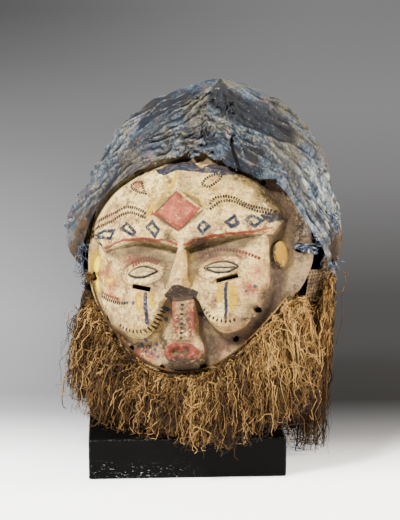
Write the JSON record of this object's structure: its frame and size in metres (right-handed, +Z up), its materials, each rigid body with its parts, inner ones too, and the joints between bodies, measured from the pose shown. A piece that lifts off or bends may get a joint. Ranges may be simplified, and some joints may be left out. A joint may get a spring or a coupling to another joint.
{
  "type": "suku initiation mask on its stand",
  "caption": "Carved and painted wooden face mask with fibre hood, draped cloth and raffia beard, held at a slant on a post and block.",
  "frame": {"origin": "middle of the stand block's underside", "axes": "+Z up, -Y out of the block's front face, +X to the right of someone who faces that front"},
  "size_m": [0.3407, 0.3234, 0.438],
  "materials": {
    "painted_carving": "matt white kaolin with red, blue, black and yellow pigments, worn and grimy",
    "dark_cloth": "matt blue-black cotton strip",
    "plaited_fibre": "matt dark brown plaited fibre",
    "indigo_cloth": "matt mottled blue cotton, faded and dusty",
    "raffia": "dry golden brown raffia strands",
    "black_steel": "satin black",
    "black_block": "satin black paint with small scuffs"
  },
  "bodies": {
    "root": {"mask": "painted_carving", "right_tie": "dark_cloth", "left_tie": "raffia", "hood": "plaited_fibre", "head_cloth": "indigo_cloth", "neck_fringe": "raffia", "raffia_beard": "raffia", "rim_twine": "plaited_fibre", "stand_post": "black_steel", "stand_block": "black_block"}
  },
  "joints": []
}
